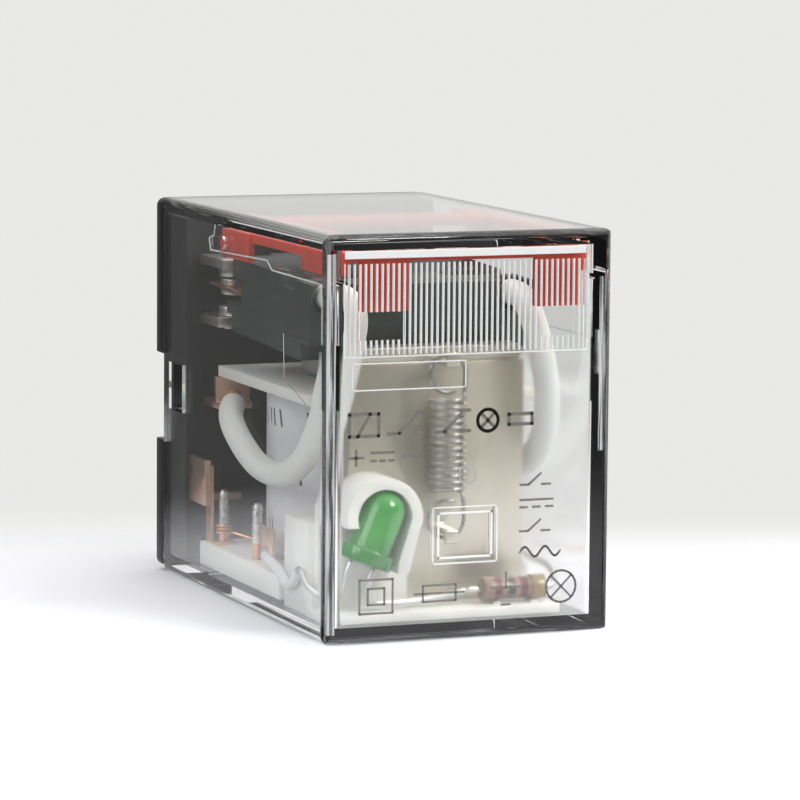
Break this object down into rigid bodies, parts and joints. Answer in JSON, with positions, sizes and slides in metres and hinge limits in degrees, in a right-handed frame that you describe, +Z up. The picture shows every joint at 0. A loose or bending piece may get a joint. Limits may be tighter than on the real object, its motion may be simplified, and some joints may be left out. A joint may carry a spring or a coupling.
{
  "type": "control relay",
  "caption": "Plug-in two-pole control relay: clear dust cover on a black base with blade terminals, coil, hinged armature, changeover contacts, green lamp and red position flag.",
  "frame": {"origin": "centre of the overall box on the surface that the relay rests on, which is the outer face of the case's lower narrow side", "axes": "+Z up through the 27.8 mm height, coil below and contacts above; the label face looks to -Y and the blades point to +Y; X is the 21 mm width"},
  "size_m": [0.021, 0.0422, 0.0278],
  "materials": {
    "clear_case": "clear polycarbonate, gloss",
    "black_plastic": "moulded, satin",
    "zinc_steel": "zinc plated, satin",
    "soft_iron": "plated, satin",
    "white_plastic": "moulded, satin",
    "copper_wire": "enamelled copper wire",
    "coil_tape": "polyester tape",
    "tinned_pins": "copper, solder coated",
    "copper_strap": "rolled copper alloy",
    "dark_plastic": "moulded, satin",
    "spring_copper": "rolled copper alloy",
    "contact_silver": "silver alloy, satin",
    "terminal_copper": "rolled copper alloy, plated blades",
    "white_sleeve": "soft tubing",
    "copper_braid": "stranded copper",
    "spring_steel": "drawn steel wire",
    "green_lamp": "clear green resin",
    "tinned_wire": "tinned wire",
    "clear_sleeve": "translucent tubing",
    "resistor_body": "lacquered",
    "red_plastic": "translucent moulded"
  },
  "bodies": {
    "housing": {"case": "clear_case", "base": "black_plastic", "yoke": "zinc_steel", "core": "soft_iron", "coil_bobbin": "white_plastic", "coil_winding": "copper_wire", "coil_tape": "coil_tape", "coil_pins": "tinned_pins", "coil_wire_ends": "copper_wire", "coil_strap_left": "copper_strap", "coil_strap_right": "copper_strap", "led_tab_left": "copper_strap", "led_tab_right": "copper_strap", "nc_terminal_left": "terminal_copper", "nc_terminal_right": "terminal_copper", "no_terminal_left": "terminal_copper", "no_terminal_right": "terminal_copper", "com_terminal_left": "terminal_copper", "com_terminal_right": "terminal_copper", "coil_terminal_left": "terminal_copper", "coil_terminal_right": "terminal_copper", "nc_contact_left": "contact_silver", "nc_contact_right": "contact_silver", "no_contact_left": "contact_silver", "no_contact_right": "contact_silver", "return_spring": "spring_steel", "lead_sleeve_left": "white_sleeve", "lead_sleeve_right": "white_sleeve", "lead_braid_left": "copper_braid", "lead_braid_right": "copper_braid", "led": "green_lamp", "led_leads": "tinned_wire", "led_lead_sleeve": "clear_sleeve", "led_holder": "white_plastic", "resistor": "resistor_body", "resistor_leads": "tinned_wire"},
    "armature": {"armature": "zinc_steel", "contact_block": "dark_plastic", "moving_spring_left": "spring_copper", "moving_spring_right": "spring_copper", "moving_contact_left": "contact_silver", "moving_contact_right": "contact_silver"},
    "indicator": {"indicator_lever": "red_plastic"}
  },
  "joints": [
    {"name": "armature_pivot", "type": "hinge", "parent": "housing", "child": "armature", "pos_m": [0, -0.01475, 0.01843], "axis": [-1, 0, 0], "range_deg": [0, 2.2], "stiffness_Nm_per_rad": 0.001, "springref_deg": -68.75},
    {"name": "indicator_pivot", "type": "hinge", "parent": "housing", "child": "indicator", "pos_m": [0, 0.00045, 0.0255], "axis": [1, 0, 0], "range_deg": [0, 5.3]}
  ],
  "couplings": [
    {"joint": "indicator_pivot", "follows": "armature_pivot", "ratio": 2.409}
  ]
}
